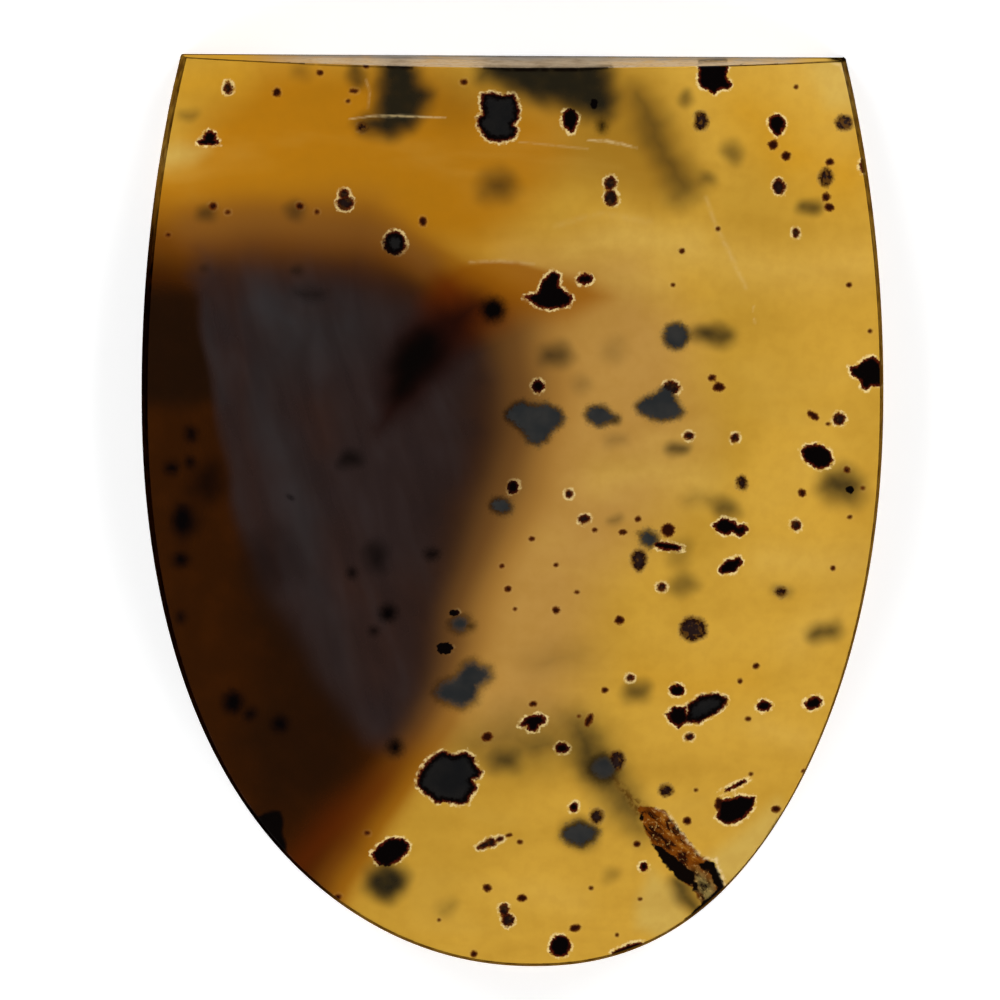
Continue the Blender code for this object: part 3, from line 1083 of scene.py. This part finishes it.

    # Flecks: ragged edge and a painted pale halo of light round a maroon border and a black or
    # slate heart
    gaps = amount("fleck_gaps")
    lumps = plus(noise(0.34), -0.5)
    teeth = plus(noise(0.1), -0.5)
    room = sums("MINIMUM", times(amount("fleck_size"), 0.8), RAGGED_MM)
    rough = times(lumps, room)
    fine = times(times(teeth, room), sums("MULTIPLY_ADD", gaps, 1.4, 1.0))
    edge = plus(plus(amount("fleck"), rough), plus(fine, -SWELL_MM))
    softness = sums("MAXIMUM", amount("fleck_blur"), SHARPEST_MM)
    inside = step(sums("DIVIDE", edge, softness), 1.0, -1.0)
    broken = step(noise(0.26), 0.36, 0.58, 0.1, 1.0)
    # Painted light: a pale halo where light leaks round a fleck and a maroon fringe where it
    # comes through its edge, both hidden in the smoke and the shadows
    hidden = sums("MAXIMUM", times(smoke, 1.6), times(amount("shadow"), 1.8))
    plain = step(hidden, 0.9, 0.3)
    painted_halo = times(step(edge, *RING_MM), times(amount("fleck_halo"), broken))
    painted_halo = times(painted_halo, plain)
    with_painted_halo = mix(times(painted_halo, 0.9), rusty, "#F0D490")
    within = plus(plus(edge, amount("fleck_border")), times(teeth, 0.1))
    grey = times(amount("fleck_grey"), step(within, *GREY_MM))
    fringe = times(step(edge, *FRINGE_MM), step(amount("fleck_halo"), 0.0, 0.5))
    fringe = times(fringe, plain)
    heart = mix(fringe, "#030000", "#541604")
    slate = mix(step(noise(0.9), 0.3, 0.7), "#282A2B", "#353432")
    heart = mix(grey, heart, slate)
    rusting = mix(step(edge, *RUST_MM), "#2C0C02", "#6E360A")
    tinted = mix(times(amount("fleck_tint"), 0.95), heart, rusting)
    blotchy = times(times(gaps, amount("fleck_tint")), 4.0)
    blotch = times(blotchy, step(noise(0.24, 3.0), 0.5, 0.62))
    tinted = mix(blotch, tinted, "#5E3C10")
    marked = mix(inside, with_painted_halo, tinted)
    crumb = times(step(edge, *CRUMBS_OUT_MM), step(edge, *CRUMBS_IN_MM))
    crumb = times(crumb, step(teeth, 0.0, 0.1))
    crumb = times(crumb, times(gaps, 0.8))
    marked = mix(crumb, marked, "#170B05")

    # Painted shade: dark at the girdle and the eased edges, where the light bends away
    lined = marked
    if finish.shade:
        rim_shade = mix(step(smoke, 0.05, 0.5), "#402807", "#020000")
        lined = mix(step(noise(0.5, 3.0), 0.3, 0.7, finish.shade, 1.0), lined, rim_shade)
    seam = times(amount("seam"), step(noise(0.3), 0.3, 0.5, 0.5, 1.0))
    if finish.name == "sawn_agate":
        position = add(tree, "ShaderNodeSeparateXYZ", None, Vector=place).outputs
        drift = times(noise(0.5, 3.0, stretch=(6, 1, 1)), FROST_DRIFT)
        height = plus(drift, position["Z"])
        # Frost in a grey and a tan tone by height, partly a painted reflection, and greyer as
        # painted shade over the deep shadows
        frost_and_reflection = mix(step(height, *FROST_TONES), "#62605C", "#9A8568")
        frost_and_reflection = mix(times(amount("shadow"), 0.4), frost_and_reflection, "#5E5A55")
        frost_and_reflection = mix(step(noise(0.2, 3.0), 0.5, 0.7, 0, 0.4), frost_and_reflection, "#55504A")
        spread = step(position["X"], *FROST_LEFT)
        spread = times(spread, step(position["X"], *FROST_RIGHT))
        frost_and_reflection_cover = times(spread, step(noise(0.7, 3.0), 0.3, 0.6, 0.6, 0.95))
        # Painted half-way to dark brown, with painted shade along the bottom edge
        bottom = times(step(position["Z"], *FROST_BOTTOM), 0.9)
        lined = mix(0.5, lined, "#5A3A0C")
        lined = mix(bottom, lined, "#3A2206")
        lined = mix(frost_and_reflection_cover, lined, frost_and_reflection)
    lined = mix(seam, lined, "#0A0300")

    tree.links.new(lined, shader.inputs["Base Color"])
    polish = step(noise(0.9, 3.0), 0.3, 0.7, finish.smooth, finish.rough)
    tree.links.new(polish, shader.inputs["Roughness"])
    shader.inputs["IOR"].default_value = AGATE_IOR
    shader.inputs["Specular IOR Level"].default_value = finish.gloss
    shader.inputs["Metallic"].default_value = 0.0
    return material


def light_table():
    """Opal white glass lit faintly from below, which keeps the shadows pale."""
    material, tree, shader, place = new_material("light_table")
    grain = add(tree, "ShaderNodeTexNoise", None, Vector=place, Scale=900.0, Detail=2.0)
    tone = add(
        tree, "ShaderNodeMix", {"data_type": "RGBA"},
        i0=grain.outputs["Fac"], i6=colour("#F6F6F6"), i7=colour("#F9F9F9"),
    )
    tree.links.new(tone.outputs[2], shader.inputs["Base Color"])
    shader.inputs["Roughness"].default_value = 0.9
    shader.inputs["Specular IOR Level"].default_value = 0.1
    shader.inputs["Emission Color"].default_value = colour("#FFFFFF")
    shader.inputs["Emission Strength"].default_value = TABLE_GLOW
    return material


# Studio


def make_floor():
    bpy.ops.mesh.primitive_plane_add(size=FLOOR_SIZE, location=(0, 0, -FLOOR_GAP))
    floor = bpy.context.object
    floor.name = "floor"
    floor.data.materials.append(light_table())


def make_lamps():
    """Four soft lamps all round, kept out of the polished face's reflections."""
    for number in range(4):
        turn = math.radians(45 + 90 * number)
        data = bpy.data.lights.new(f"lamp_{number}", "AREA")
        data.shape = "DISK"
        data.size = LAMP_SIZE
        data.energy = LAMP_POWER
        lamp = bpy.data.objects.new(data.name, data)
        lamp.location = (
            LAMP_DISTANCE * math.cos(turn), LAMP_DISTANCE * math.sin(turn), LAMP_HEIGHT
        )
        lamp.visible_glossy = False
        lamp.rotation_mode = "QUATERNION"
        lamp.rotation_quaternion = lamp.location.to_track_quat("Z", "Y")
        bpy.context.scene.collection.objects.link(lamp)


def make_sky():
    """White all round at the horizon and dimmer overhead."""
    world = bpy.data.worlds.new("studio")
    bpy.context.scene.world = world
    world.use_nodes = True
    tree = world.node_tree
    background = tree.nodes["Background"]
    ray = add(tree, "ShaderNodeTexCoord").outputs["Generated"]
    height = add(tree, "ShaderNodeSeparateXYZ", None, Vector=ray).outputs["Z"]
    light = add(
        tree, "ShaderNodeMapRange", {"interpolation_type": "SMOOTHSTEP"},
        i0=height, i1=SKY_HEIGHTS[0], i2=SKY_HEIGHTS[1], i3=SKY_LIGHTS[0], i4=SKY_LIGHTS[1],
    )
    background.inputs["Color"].default_value = colour("#FFFFFF")
    tree.links.new(light.outputs[0], background.inputs["Strength"])


make_camera()
make_floor()
make_lamps()
make_sky()
bpy.context.scene.view_settings.view_transform = "Standard"

agate = make_stone()
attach(agate, "root")
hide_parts("stone")
